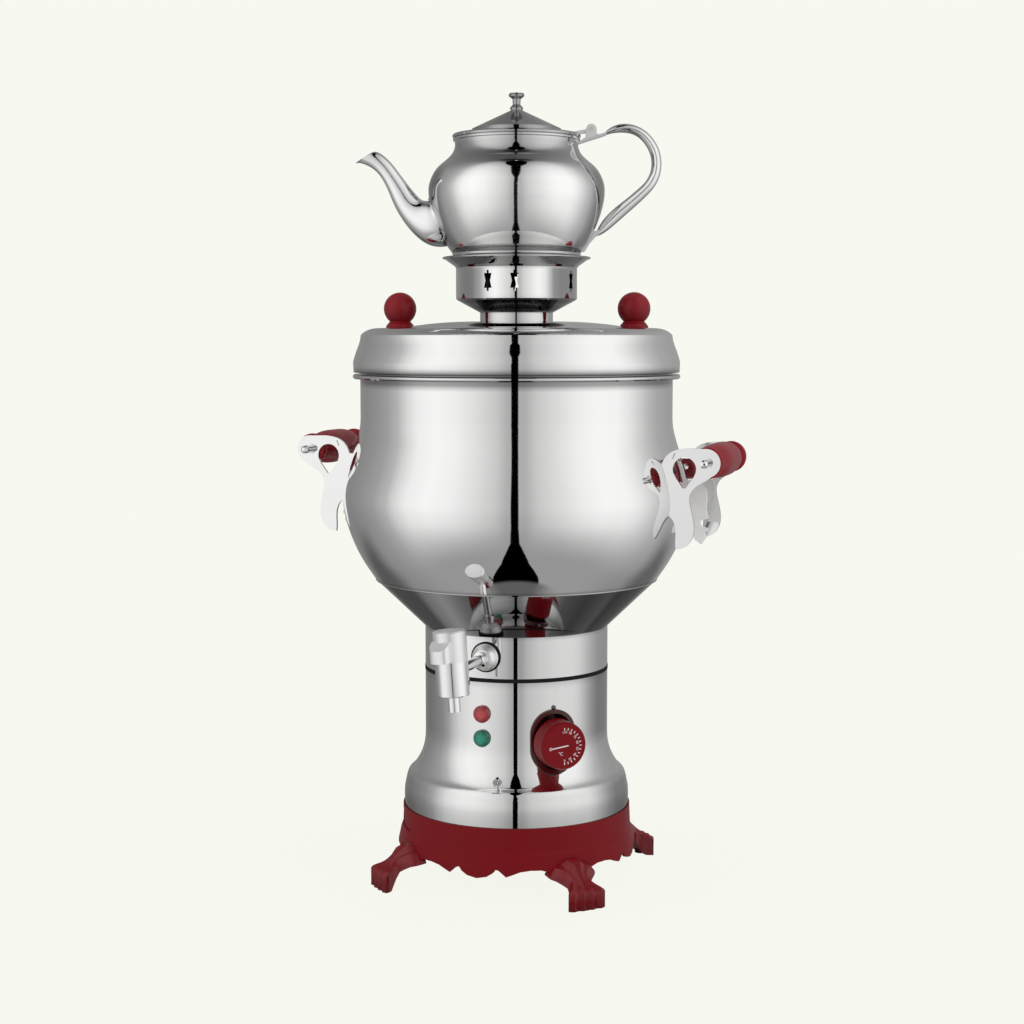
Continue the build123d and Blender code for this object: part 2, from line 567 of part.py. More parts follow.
def build_lid():
    lid_core = core_of(lid_runs)
    lid = shell_of(lid_runs, steel)
    lid_top_side = lid_bottom + steel
    flange_radius, skirt_radius, skirt_bottom = 136.4, neck_radius - 2.4, 424.5
    lid += turned((skirt_radius - 0.2, lid_bottom), (flange_radius, lid_bottom),
                  (flange_radius, lid_top_side), (skirt_radius - 0.2, lid_top_side))
    lid += turned((skirt_radius - steel, skirt_bottom), (skirt_radius, skirt_bottom),
                  (skirt_radius, lid_top_side), (skirt_radius - steel, lid_top_side))
    steam_wall, steam_bottom, steam_top = steam_hole_radius + 1.2, lid_centre_height - steel, 481.0
    lid += turned((steam_hole_radius, steam_bottom), (steam_wall, steam_bottom), (steam_wall, steam_top),
                  (steam_hole_radius, steam_top))
    screw, screw_top = 2.4, lid_knob_centre + 4
    screws = []
    for name, sign in (("left", -1), ("right", 1)):
        at = Rot(0, 0, lid_knob_turn) * Pos(sign * lid_knob_offset, 0, 0)
        seat = lid_height_at(lid_knob_offset) + 0.9
        lid -= at * Pos(0, 0, seat) * Cylinder(screw, 20)
        boss = turned((screw, seat - 5), (12.0, seat - 5), (12.0, seat - 0.6), (10.9, seat + 1.0),
                      (9.0, seat + 3.2), (8.2, seat + 4.8), (9.4, lid_knob_centre - 9.2),
                      (8.4, lid_knob_centre), (screw, lid_knob_centre))
        ball = Pos(0, 0, lid_knob_centre) * Sphere(lid_knob_radius)
        knob = boss + ball - Cylinder(screw, 2 * screw_top)
        save(at * knob - lid_core, f"lid_knob_{name}")
        screws.append(at * turned((0, seat - 6), (5, seat - 6), (5, seat - 3.2), (screw, seat - 3.2),
                                  (screw, screw_top), (0, screw_top)))
    save(lid, "lid_shell")
    save(Compound(screws), "lid_knob_screws")


# ---- stand ----
def bead(radius, low, high, depth):
    """A raised round edge, turned from five straight sides, standing out on either side of a radius."""
    middle, corner = (low + high) / 2, (high - low) / 4
    return turned((radius - depth, middle - corner), (radius, low), (radius + depth, middle - corner),
                  (radius + depth, middle + corner), (radius, high), (radius - depth, middle + corner))


def build_stand():
    runs = [
        run((dish_radius, dish_top), (stand_radius + 1.6, dish_bottom)),
        run((stand_radius + 1.6, dish_bottom), (stand_radius, dish_bottom - 1.8)),
        run((stand_radius, dish_bottom - 1.8), (stand_radius, stand_cone_top + 1.2)),
        run((stand_radius, stand_cone_top + 1.2), (stand_radius - 1.4, stand_cone_top)),
        run((stand_radius - 1.4, stand_cone_top), (stand_collar_radius, stand_cone_bottom)),
        run((stand_collar_radius, stand_cone_bottom), (stand_collar_radius, lid_centre_height + 0.1)),
    ]
    stand = shell_of(runs, pot_steel)
    stand += turned((38, pot_floor - steel), (stand_radius + 1.7, pot_floor - steel),
                    (stand_radius + 1.7, pot_floor), (38, pot_floor))
    stand += bead(dish_radius - pot_steel / 2, dish_top - 0.9, dish_top + 0.9, 0.9)
    slit, slit_height = 1.8, 17.0
    wide, waist, shoulder = 3.5, 2.1, 6.0
    vent = Rectangle(slit, slit_height) + outline((wide, shoulder), (waist, 0), (wide, -shoulder),
                                                  (-wide, -shoulder), (-waist, 0), (-wide, shoulder))
    for angle in (-27.6, -1.9):
        for quarter in (0, 90, 180, 270):
            stand -= prism(outward(angle + pot_angle + quarter, 40, 508.2), vent, 20)
    save(stand, "stand_cup")


# ---- teapot: modelled with its spout along -X, then turned ----
pot_turn = Rot(0, 0, pot_angle)
pot_runs = [
    run((mouth_radius, mouth_height), (51.2, 621.0)),
    run((51.2, 621.0), (54.6, 612.8), (64.4, 604.0), start=(0.1, -1), end=(0.97, -0.88)),
    run((64.4, 604.0), (71.0, 594.4), (73.5, 583.6), start=(0.97, -0.88), end=(0, -1)),
    run((73.5, 583.6), (71.4, 568.6), (60.8, 542.6), (53.8, 532.0), start=(0, -1), end=(-0.75, -1)),
    run((53.8, 532.0), (53.0, 526.0)),
    run((53.0, 526.0), (51.8, 524.3)),
    run((51.8, 524.3), (48.5, pot_floor)),
]
spout_sections = [          # distance from the axis, height, half height, half width, tilt in degrees
    (54.0, 558.5, 20.3, 18.6, -20), (66.2, 556.5, 20.1, 18.2, -20), (73.1, 557.1, 18.2, 16.8, -1),
    (79.2, 560.4, 15.5, 14.3, 14), (89.4, 570.6, 10.9, 10.0, 47), (94.7, 578.4, 9.7, 8.9, 53),
    (99.7, 587.0, 8.3, 7.7, 54), (104.6, 595.1, 7.3, 6.9, 54), (109.8, 602.2, 7.0, 6.5, 50),
    (115.6, 607.5, 7.1, 6.1, 46), (122.0, 610.8, 7.5, 5.4, 49), (128.3, 610.0, 6.9, 4.6, 58)]


def spout_solid(thinner):
    """The spout drawn in by a margin all round."""
    sections = []
    for reach, z, half_height, half_width, tilt in spout_sections:
        a = radians(tilt)
        plane = Plane(origin=(-reach, 0, z), x_dir=(0, 1, 0), z_dir=(-cos(a), 0, sin(a)))
        sections.append(plane * Ellipse(half_width - thinner, half_height - thinner))
    return loft(sections)


def build_teapot():
    pot_core = core_of(pot_runs)
    body = shell_of(pot_runs, pot_steel)
    floor_radius, floor_top = 48.7, pot_floor + pot_steel
    body += turned((0, pot_floor), (floor_radius, pot_floor), (floor_radius, floor_top), (0, floor_top))
    body += bead(mouth_radius - 0.4, mouth_height - 2.8, mouth_height, 1.4)
    body -= Pos(-66, 0, spout_port_height) * Rot(0, 90, 0) * Cylinder(10, 24)
    save(pot_turn * body, "teapot_body")
    outer = spout_solid(0)
    bore = spout_solid(pot_steel)
    spout = outer - bore - pot_core
    save(pot_turn * max(spout.solids(), key=lambda s: s.volume), "spout")
    skin = core_of(inset(pot_runs, pot_steel)) - core_of(inset(pot_runs, pot_steel + 0.6))
    strainer = skin & (Pos(0, 0, spout_port_height) * Rot(0, 90, 0) * Cylinder(16, 160))
    strainer = strainer & Pos(-60, 0, spout_port_height) * Box(60, 60, 60)
    for dz in (-6, 0, 6):
        for y in (-5, 0, 5):
            strainer -= Pos(-66, y, spout_port_height + dz) * Rot(0, 90, 0) * Cylinder(1.4, 24)
    save(pot_turn * strainer, "spout_strainer")
    build_pot_handle()
    build_pot_lid()


def build_pot_handle():
    handle_half_width = 6.0
    sections = [             # distance from the axis, height, half thickness
        (73.8, 630.3, 0.9), (78.8, 633.2, 2.5), (87.1, 635.1, 3.6), (96.5, 634.1, 3.8), (103.8, 630.6, 3.9),
        (110.6, 623.6, 4.1), (115.1, 615.0, 4.2), (116.5, 606.6, 4.2), (115.3, 597.3, 4.3),
        (110.1, 587.7, 4.4), (104.2, 581.7, 4.6), (97.1, 575.4, 4.8), (89.4, 569.0, 5.1), (82.1, 562.7, 5.2),
        (75.3, 556.1, 4.6), (70.3, 550.7, 3.2), (66.2, 546.9, 0.9)]
    profiles = []
    for i, (x, z, half_thickness) in enumerate(sections):
        before, after = sections[max(i - 1, 0)], sections[min(i + 1, len(sections) - 1)]
        along = unit(before[:2], after[:2])
        place = Plane(origin=(x, 0, z), x_dir=(0, 1, 0), z_dir=(along[0], 0, along[1]))
        profiles.append(place * Ellipse(handle_half_width, half_thickness))
    handle = loft(profiles)
    strap = outline((49.0, 621.4), (74.4, 629.5), (74.4, 631.5), (49.0, 623.4))
    upright = Plane(origin=(0, 0, 0), x_dir=(1, 0, 0), z_dir=(0, -1, 0))
    handle += extrude(upright * strap, amount=handle_half_width, both=True)
    tab = outline((54.0, 533.4), (57.0, 533.4), (61.2, 540.2), (66.0, 545.6), (71.5, 549.6), (70.3, 552.0),
                  (64.5, 550.0), (54.0, 537.0))
    handle += extrude(upright * tab, amount=5.5, both=True)
    bead_room = Pos(0, 0, mouth_height - 1.4) * Cylinder(mouth_radius + 1.1, 3.0)
    save(pot_turn * (handle - core_of(inset(pot_runs, -0.1)) - bead_room), "teapot_handle")


def build_pot_lid():
    seat = mouth_height + 0.2
    edge = 53.6
    lid = turned((0, 649.8), (6, 649.2), (37.2, 634.4), (38.6, 631.6), (edge - 0.8, 629.8), (edge, 628.8),
                 (edge - 0.6, seat), (mouth_radius - 3.2, seat), (mouth_radius - 3.2, seat - 5.0),
                 (mouth_radius - 4.2, seat - 5.0), (mouth_radius - 4.2, seat + 0.8), (40.0, seat + 0.8),
                 (37.2, 633.2), (6, 648.0), (0, 648.4))
    lid -= Pos(-30, 0, 640) * Cylinder(1.5, 20)
    leaf = Pos(hinge_reach, 0, hinge_height) * Rot(90, 0, 0) * Cylinder(knuckle_radius, 5.6)
    arm = Plane(origin=(0, 0, 0), x_dir=(1, 0, 0), z_dir=(0, -1, 0)) * outline(
        (44.0, 629.6), (hinge_reach - 3.2, 631.4), (hinge_reach, 631.4), (hinge_reach - 2.8, 634.4),
        (44.0, 631.6))
    leaf += extrude(arm, amount=2.8, both=True)
    leaf -= Pos(hinge_reach, 0, hinge_height) * Rot(90, 0, 0) * Cylinder(1.5 + fit, 30)
    save(pot_turn * lid, "teapot_lid")
    save(pot_turn * (leaf - lid).solids().sort_by(SortBy.VOLUME)[-1], "hinge_leaf")
    knob = turned((0, 648.4), (2.6, 648.4), (2.6, 650.0), (5.2, 650.0), (5.6, 651.6), (4.4, 653.2),
                  (3.2, 654.4), (3.4, 659.0), (6.2, 661.0), (6.7, 662.4), (5.8, 663.7), (0, 664.0))
    save(pot_turn * (knob - lid), "teapot_lid_knob")
    save(pot_turn * Pos(hinge_reach, 0, hinge_height) * Rot(90, 0, 0) * Cylinder(1.5, 13.2), "hinge_pin")
    upright = Plane(origin=(0, 0, 0), x_dir=(1, 0, 0), z_dir=(0, -1, 0))
    base = outline((55.0, 625.35), (68.0, 629.5), (68.0, 630.4), (55.0, 626.25))
    cheek = outline((57.6, 626.4), (66.6, 629.3), (hinge_reach + knuckle_radius, hinge_height),
                    (hinge_reach - knuckle_radius, hinge_height))
    cheek += Pos(hinge_reach, hinge_height) * Circle(knuckle_radius)
    leaf_room = Pos(hinge_reach, 0, hinge_height) * Box(30, 7.0, 30)
    bracket = extrude(upright * cheek, amount=5.4, both=True) - leaf_room
    bracket += extrude(upright * base, amount=5.4, both=True)
    pin_hole = Pos(hinge_reach, 0, hinge_height) * Rot(90, 0, 0) * Cylinder(1.5, 30)
    save(pot_turn * (bracket - pin_hole), "hinge_bracket")


os.makedirs("parts", exist_ok=True)
build_tank()
build_heater()
build_base_shell()
build_feet(build_ring())
build_base_inside()
build_lamps()
build_thermostat()
build_tap()
build_handles()
build_lid()
build_stand()
build_teapot()
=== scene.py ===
import bpy
from math import cos, hypot, pi, radians, sin
from mathutils import Matrix, Vector


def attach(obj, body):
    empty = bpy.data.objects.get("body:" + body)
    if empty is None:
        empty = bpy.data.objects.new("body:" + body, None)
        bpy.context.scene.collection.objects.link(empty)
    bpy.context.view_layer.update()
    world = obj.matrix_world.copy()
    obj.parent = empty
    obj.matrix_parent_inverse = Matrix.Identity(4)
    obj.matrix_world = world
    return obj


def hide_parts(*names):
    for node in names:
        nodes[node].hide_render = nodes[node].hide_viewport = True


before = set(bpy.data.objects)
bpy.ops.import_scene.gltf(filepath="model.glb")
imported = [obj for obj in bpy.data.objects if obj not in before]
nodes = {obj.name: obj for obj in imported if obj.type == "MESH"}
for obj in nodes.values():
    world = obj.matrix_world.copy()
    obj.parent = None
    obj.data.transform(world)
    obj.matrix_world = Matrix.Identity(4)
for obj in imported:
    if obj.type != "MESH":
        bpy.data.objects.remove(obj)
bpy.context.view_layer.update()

mm = 0.001                                   # lengths below are in millimetres unless they say otherwise
cameraSide = radians(18.6)                   # the camera's side, round from the tap towards +X
floorDrop = 4.5                              # the floor's height above the drawing's zero
lampHeights = {"red": 155.7 - floorDrop, "green": 135.6 - floorDrop}
potTurn = radians(18.6)                      # the line from spout to handle, round from the X axis


# shader maths written as plain expressions
class Wire:
    def __init__(self, tree, socket):
        self.tree = tree
        self.socket = socket

    def maths(self, operation, first, second=0.0, third=0.0):
        return self.tree.add("ShaderNodeMath", {"operation": operation}, {0: first, 1: second, 2: third})

    def __add__(self, other):
        return self.maths("ADD", self, other)

    def __radd__(self, other):
        return self.maths("ADD", other, self)

    def __sub__(self, other):
        return self.maths("SUBTRACT", self, other)

    def __rsub__(self, other):
        return self.maths("SUBTRACT", other, self)

    def __mul__(self, other):
        return self.maths("MULTIPLY", self, other)

    def __rmul__(self, other):
        return self.maths("MULTIPLY", other, self)

    def __truediv__(self, other):
        return self.maths("DIVIDE", self, other)

    def largest(self, other):
        return self.maths("MAXIMUM", self, other)

    def size(self):
        return self.maths("ABSOLUTE", self)

    def root(self):
        return self.maths("SQRT", self)

    def sine(self):
        return self.maths("SINE", self)

    def between(self, low, high):
        # 0 below low, 1 above high, smooth in between
        return self.tree.add("ShaderNodeMapRange", {"interpolation_type": "SMOOTHSTEP"},
                             {"Value": self, "From Min": low, "From Max": high})

    def output(self, name):
        return Wire(self.tree, self.socket.node.outputs[name])


class Tree:
    def __init__(self, owner):
        self.nodes = owner.node_tree.nodes
        self.links = owner.node_tree.links
        self.nodes.clear()

    def add(self, kind, settings, sockets, output=0):
        made = self.nodes.new(kind)
        for name, value in settings.items():
            if name == "stops":
                ramp = made.color_ramp
                while len(ramp.elements) < len(value):
                    ramp.elements.new(0.5)
                for element, (place, tone) in zip(ramp.elements, value):
                    element.position = place
                    element.color = tone if isinstance(tone, tuple) else (tone, tone, tone, 1)
            elif name == "interpolation":
                made.color_ramp.interpolation = value
            else:
                setattr(made, name, value)
        for name, value in sockets.items():
            if isinstance(value, Wire):
                self.links.new(value.socket, made.inputs[name])
            else:
                made.inputs[name].default_value = value
        return Wire(self, made.outputs[output]) if len(made.outputs) else made

    def place(self):
        # the point on the object, in metres
        return self.add("ShaderNodeTexCoord", {}, {}, "Object")

    def parts(self, vector):
        split = self.add("ShaderNodeSeparateXYZ", {}, {0: vector})
        return split, split.output("Y"), split.output("Z")

    def joined(self, x, y, z):
        return self.add("ShaderNodeCombineXYZ", {}, {0: x, 1: y, 2: z})

    def noise(self, vector, scale, detail=2.0, roughness=0.5):
        return self.add("ShaderNodeTexNoise", {},
                        {"Vector": vector, "Scale": scale, "Detail": detail, "Roughness": roughness})

    def blendColours(self, share, first, second):
        sockets = {0: share, 6: first, 7: second}
        return self.add("ShaderNodeMix", {"data_type": "RGBA"}, sockets, 2)

    def against(self, stops, value, low, high, scale=1.0):
        # a listed value looked up along a range, straight between the listed places
        places = [((place - low) / (high - low), tone / scale) for place, tone in stops]
        return self.add("ShaderNodeValToRGB", {"stops": places}, {0: (value - low) / (high - low)})

    def aroundCamera(self):
        # how far round from the camera's side a point lies, in degrees
        x, y, z = self.parts(self.place())
        ahead = x * sin(cameraSide) - y * cos(cameraSide)
        aside = x * cos(cameraSide) + y * sin(cameraSide)
        return aside.maths("ARCTAN2", aside, ahead) * (180 / pi)

    def seen(self):
        # 1 for the camera and for what reflections and clear pieces show, 0 for other light
        path = self.add("ShaderNodeLightPath", {}, {}, "Is Camera Ray")
        return path.largest(path.output("Is Glossy Ray")).largest(path.output("Is Transmission Ray"))

    def bump(self, height, strength, distance):
        sockets = {"Height": height, "Strength": strength, "Distance": distance}
        return self.add("ShaderNodeBump", {}, sockets)

    def finish(self, shader, kind="ShaderNodeOutputMaterial"):
        self.add(kind, {}, {"Surface": shader})


def newMaterial(name):
    material = bpy.data.materials.new(name)
    material.use_nodes = True
    return material, Tree(material)


def principled(tree, **sockets):
    named = {key.replace("_", " "): value for key, value in sockets.items()}
    return tree.add("ShaderNodeBsdfPrincipled", {}, named)


# ---- materials
def spunSteel(name, look, paintedShade, insideShade=None):
    # rolled and polished sheet: faint lines round the axis, duller patches, and painted shade and painted
    # reflections that darken the colour by height and by side
    material, tree = newMaterial(name)
    x, y, z = tree.parts(tree.place())
    reach = (x * x + y * y).root()
    lines = tree.noise(tree.joined(reach * look["lineScale"], 0.0, z * look["lineScale"]), 1.0, 3.0)
    patches = tree.noise(tree.place(), look["patchScale"], 3.0)
    rough = look["roughness"] + (lines - 0.5) * look["lineShare"] + (patches - 0.5) * look["patchShare"]
    height = z * (1 / mm)
    # painted shade and painted reflections, listed by height
    byHeight = tree.against(paintedShade["heights"], height, 0, shadeTop)
    # painted reflections, listed by the side round from the camera's side
    paintedReflectionBySide = tree.against(paintedShade["sides"], tree.aroundCamera(), -180, 180)
    sideShare = tree.against(paintedShade["sideShare"], height, 0, shadeTop)
    share = byHeight * (1.0 - sideShare * (1.0 - paintedReflectionBySide))
    bare = tree.blendColours(patches, look["dark"], look["light"])
    # the painted shade and reflections darken the bare steel towards black
    tone = tree.blendColours(share, (0, 0, 0, 1), bare)
    # painted shade: near-black inside the listed reach and heights
    if insideShade:
        inside = 1.0 - reach.between(insideShade["reach"] - insideShade["blur"], insideShade["reach"])
        inside = inside * z.between(insideShade["low"], insideShade["low"] + insideShade["blur"])
        inside = inside * (1.0 - z.between(insideShade["high"] - insideShade["blur"], insideShade["high"]))
        tone = tree.blendColours(inside, tone, insideShade["colour"])
    normal = tree.bump(lines, look["lineDepth"], look["lineHeight"])
    tree.finish(principled(tree, Base_Color=tone, Metallic=1.0, Roughness=rough, Normal=normal))
    return material


def plating(name, look):
    # bright or satin plating with a slightly uneven surface
    material, tree = newMaterial(name)
    grain = tree.noise(tree.place(), look["grainScale"], 3.0)
    waves = tree.noise(tree.place(), look["waveScale"], 2.0)
    rough = look["roughness"] + (grain - 0.5) * look["grainShare"]
    tone = tree.blendColours(waves, look["dark"], look["light"])
    normal = tree.bump(waves, look["waveDepth"], look["waveHeight"])
    tree.finish(principled(tree, Base_Color=tone, Metallic=look["metal"], Roughness=rough, Normal=normal))
    return material


def plastic(name, look):
    # moulded plastic: fine sparkle in the roughness, orange peel, slight colour drift
    material, tree = newMaterial(name)
    drift = tree.noise(tree.place(), look["driftScale"], 3.0)
    peel = tree.noise(tree.place(), look["peelScale"], 2.0)
    tone = tree.blendColours(drift, look["dark"], look["light"])
    rough = look["roughness"] + (peel - 0.5) * look["peelShare"]
    normal = tree.bump(peel, look["peelDepth"], look["peelHeight"])
    tree.finish(principled(tree, Base_Color=tone, Roughness=rough, Normal=normal,
                           Specular_IOR_Level=look["shine"]))
    return material


def ringedLens(name, look, height):
    # a lamp's lens with moulded rings; the paler middle is a painted glow and the light and dark rings are
    # painted highlights
    material, tree = newMaterial(name)
    turn = radians(look["turn"])
    x, y, z = tree.parts(tree.place())
    aside = x * cos(turn) + y * sin(turn)
    lift = z - height
    reach = (aside * aside + lift * lift).root()
    rings = (reach * (2 * pi / (look["ring"] * mm))).sine()
    # painted glow in the middle and painted ring highlights
    glow = 1.0 - reach.between(*look["glow"])
    share = glow * look["glowShare"] + rings * look["ringShare"] + look["baseShare"]
    tone = tree.blendColours(share, look["dark"], look["light"])
    normal = tree.bump(rings, look["ringDepth"], look["ringHeight"])
    tree.finish(principled(tree, Base_Color=tone, Roughness=look["roughness"], Normal=normal,
                           Coat_Weight=look["coat"]))
    return material


shadeTop = 660                               # painted shade and reflection tones are listed up to this height
steelLook = {"roughness": 0.032, "lineScale": 900.0, "lineShare": 0.012, "lineDepth": 0.0012,
             "lineHeight": 0.00002, "patchScale": 9.0, "patchShare": 0.01,
             "dark": (0.865, 0.865, 0.865, 1), "light": (0.885, 0.885, 0.88, 1)}
# a lighter copy of the tank's steel: painted light on the stand
litStandLook = {**steelLook, "roughness": 0.06, "dark": (0.96, 0.96, 0.96, 1),
             "light": (0.98, 0.98, 0.975, 1)}
potLook = {**steelLook, "roughness": 0.06, "dark": (0.90, 0.90, 0.90, 1),
           "light": (0.93, 0.93, 0.925, 1)}
# painted shade and painted reflections: the tone at a height, the tone at a side in degrees, and how much
# the sides count at a height
tankPaintedShade = {"heights": [(62, 0.70), (70, 0.80), (80, 1.0), (172, 1.0), (180.5, 0.62), (186, 0.70),
                         (192, 0.9), (213.5, 0.94), (214.5, 0.45), (254.5, 0.38), (256.5, 1.0),
                         (415.5, 1.0), (418, 0.7), (420.5, 0.35), (422, 0.25), (423.2, 0.4),
                         (424, 0.88), (426.8, 0.88), (427.2, 0.08), (428.9, 0.04), (429.6, 0.3),
                         (430.5, 0.55), (432, 0.85), (434, 1.0), (461, 1.0), (464, 0.75), (475, 0.7)],
             "sides": [(-180, 0.85), (-110, 0.8), (-75, 0.66), (-60, 0.74), (-40, 0.8), (-24, 0.93),
                       (-10, 1.0), (8, 0.98), (15, 0.89), (25, 0.8), (40, 0.79), (60, 0.5), (75, 0.5),
                       (110, 0.8), (180, 0.85)],
             "sideShare": [(86, 1.0), (92, 0.3), (118, 0.3), (130, 1.0), (213, 1.0), (215, 0.0)]}
conePaintedShade = {"heights": [(213.5, 0.94), (216, 1.0), (254, 1.0)],
             "sides": [(-180, 0.4), (-75, 0.42), (-58, 0.5), (-42, 0.6), (-32, 1.0), (-24, 0.55),
                       (-17, 0.32), (-9, 0.36), (0, 0.36), (9, 0.5), (14, 0.6), (20, 0.26),
                       (30, 0.13), (42, 0.24), (58, 0.36), (180, 0.4)],
             "sideShare": [(213.5, 0.2), (215, 1.0)]}
standPaintedShade = {"heights": [(470, 0.7), (477.5, 0.7), (478.5, 0.1), (482, 0.08), (484.5, 0.3), (487, 0.12),
                          (488.6, 0.3), (490, 1.0), (514, 1.0), (516, 0.5), (524, 0.5)],
              "sides": [(-100, 0.9), (-75, 1.0), (-60, 0.6), (-45, 0.34), (-36, 0.36), (-26, 0.85),
                        (-20, 1.0), (20, 1.0), (27, 0.8), (37, 0.27), (46, 0.27), (60, 0.5),
                        (80, 0.7), (100, 0.9)],
              "sideShare": [(487, 0.0), (490, 1.0), (514, 1.0), (516, 0.3)]}
potPaintedShade = {"heights": [(519, 0.55), (527, 0.66), (531, 0.8), (534, 1.0), (592, 1.0), (598, 0.8),
                        (603, 0.6), (616, 0.6), (621, 0.75), (625, 0.6), (632, 0.42), (645, 0.42),
                        (660, 0.45)],
            "sides": [(-100, 0.9), (-76, 0.42), (-66, 0.42), (-55, 0.95), (-40, 1.0), (40, 1.0),
                      (55, 0.9), (66, 0.45), (78, 0.4), (100, 0.9)],
            "sideShare": [(527, 0.0), (534, 1.0), (592, 1.0), (600, 0.0)]}
# painted shade: near-black inside this reach and between these heights, in metres
standInsideShade = {"reach": 0.0505, "low": 0.489, "high": 0.5185, "blur": 0.0002,
               "colour": (0.01, 0.01, 0.01, 1)}
potInsideShade = {**standInsideShade, "reach": 0.047, "low": 0.51, "high": 0.5193}
chromeLook = {"roughness": 0.06, "grainScale": 900.0, "grainShare": 0.04, "waveScale": 60.0,
              "waveDepth": 0.05, "waveHeight": 0.0004, "metal": 1.0, "dark": (0.86, 0.86, 0.86, 1),
              "light": (0.90, 0.90, 0.90, 1)}
# white and not metal: the crest plates' bright reflections painted as colour
glareWhiteLook = {**chromeLook, "roughness": 0.45, "metal": 0.0, "dark": (0.95, 0.95, 0.95, 1),
             "light": (0.98, 0.98, 0.98, 1)}
# near-black: painted shade in seams and creases
grooveShadeLook = {**chromeLook, "roughness": 0.5, "dark": (0.03, 0.03, 0.03, 1),
              "light": (0.06, 0.06, 0.06, 1)}
satinLook = {**chromeLook, "roughness": 0.34, "grainShare": 0.1, "metal": 0.75}
dotLook = {**chromeLook, "roughness": 0.2, "dark": (0.10, 0.10, 0.10, 1),
           "light": (0.16, 0.16, 0.16, 1)}
copperLook = {**chromeLook, "roughness": 0.25, "dark": (0.60, 0.36, 0.2, 1),
              "light": (0.72, 0.46, 0.28, 1)}
redLook = {"roughness": 0.36, "driftScale": 20.0, "peelScale": 700.0, "peelShare": 0.08,
           "peelDepth": 0.06, "peelHeight": 0.0002, "shine": 0.12,
           "dark": (0.175, 0.003, 0.0065, 1), "light": (0.215, 0.0045, 0.009, 1)}
footLook = {**redLook, "roughness": 0.28, "shine": 0.45}
# darker than the other red mouldings: painted shade of the recess round the dial
bezelShadeLook = {**redLook, "roughness": 0.22, "shine": 0.5, "dark": (0.05, 0.001, 0.002, 1),
             "light": (0.07, 0.0015, 0.003, 1)}
knobLook = {**redLook, "roughness": 0.32, "shine": 0.28, "dark": (0.22, 0.004, 0.010, 1),
            "light": (0.27, 0.006, 0.014, 1)}
rubberLook = {**redLook, "roughness": 0.75, "dark": (0.008, 0.008, 0.008, 1),
              "light": (0.016, 0.016, 0.016, 1)}
blackLook = {**rubberLook, "roughness": 0.5}
inkLook = {**rubberLook, "roughness": 0.6, "dark": (0.72, 0.66, 0.66, 1),
           "light": (0.84, 0.8, 0.8, 1)}
# the painted glow in the middle spreads over this reach in metres; the rings are this many millimetres
# apart
redLensLook = {"turn": -2.5, "ring": 0.9, "ringDepth": 0.5, "ringHeight": 0.0002,
               "glow": (0.0015, 0.0068), "glowShare": 0.6, "ringShare": 0.2, "baseShare": 0.2,
               "roughness": 0.15, "coat": 0.5, "dark": (0.20, 0.004, 0.012, 1),
               "light": (0.62, 0.05, 0.06, 1)}
greenLensLook = {**redLensLook, "dark": (0.0, 0.07, 0.04, 1), "light": (0.0, 0.34, 0.22, 1)}

steel = spunSteel("spunSteel", steelLook, tankPaintedShade)
spunSteel("coneSteel", steelLook, conePaintedShade)
spunSteel("standSteel", litStandLook, standPaintedShade, standInsideShade)
spunSteel("potSteel", potLook, potPaintedShade, potInsideShade)
plating("brightPlating", chromeLook)
plating("glareWhitePlating", glareWhiteLook)
grooveShade = plating("paintedGrooveShade", grooveShadeLook)
plating("satinPlating", satinLook)
darkDot = plating("darkDot", dotLook)
plating("copperTube", copperLook)
plastic("redMoulding", redLook)
plastic("redKnob", knobLook)
redFoot = plastic("redFoot", footLook)
plastic("redBezel", bezelShadeLook)
plastic("blackRubber", rubberLook)
plastic("blackMoulding", blackLook)
whiteInk = plastic("whiteInk", inkLook)
ringedLens("redLens", redLensLook, lampHeights["red"] * mm)
ringedLens("greenLens", greenLensLook, lampHeights["green"] * mm)
print("materials made")

carried = {
    "spunSteel": ["tank_bowl", "tank_floor", "base_shell", "lid_shell", "spout_strainer",
                  "heat_shield", "base_plate", "heating_element"],
    "coneSteel": ["tank_cone"],
    "standSteel": ["stand_cup"],
    "potSteel": ["teapot_body", "teapot_lid", "teapot_lid_knob"],
    "brightPlating": ["ear_left_front", "ear_left_rear", "ear_right_front", "ear_right_rear",
                      "ear_rivets", "acorn_nuts", "grip_rods", "tap_body", "tap_backnut",
                      "tap_pipe", "teapot_handle", "hinge_pin", "spout", "lid_knob_screws",
                      "base_screws", "thermostat_shaft", "valve_stem"],
    "glareWhitePlating": ["crest_left", "crest_right"],
    "satinPlating": ["tap_cap", "tap_flange", "hinge_bracket", "hinge_leaf"],
    "copperTube": ["sensor_bulb"],
    "redMoulding": ["base_ring", "foot_front_left", "foot_front_right", "foot_rear_left",
                    "foot_rear_right", "thermostat_knob"],
    "redBezel": ["thermostat_bezel"],
    "redKnob": ["grip_left", "grip_right", "lid_knob_left", "lid_knob_right"],
    "blackRubber": ["gasket_ring", "foot_pads", "element_bushes", "tap_washer", "valve_plug"],
    "blackMoulding": ["mains_inlet", "terminal_block", "thermal_cutout", "thermostat_body"],
    "redLens": ["lamp_red"],
    "greenLens": ["lamp_green"],
}
for materialName, names in carried.items():
    for name in names:
        nodes[name].data.materials.clear()
        nodes[name].data.materials.append(bpy.data.materials[materialName])
print("CAD nodes dressed")


# ---- added pieces
def outwardFrame(angle, reach, height):
    # x to the right, y up and z outwards on the side of the body; distances in millimetres
    a = radians(angle)
    frameMatrix = Matrix(((cos(a), 0, sin(a)), (sin(a), 0, -cos(a)), (0, 1, 0))).to_4x4()
    frameMatrix.translation = Vector((reach * sin(a), -reach * cos(a), height)) * mm
    return frameMatrix


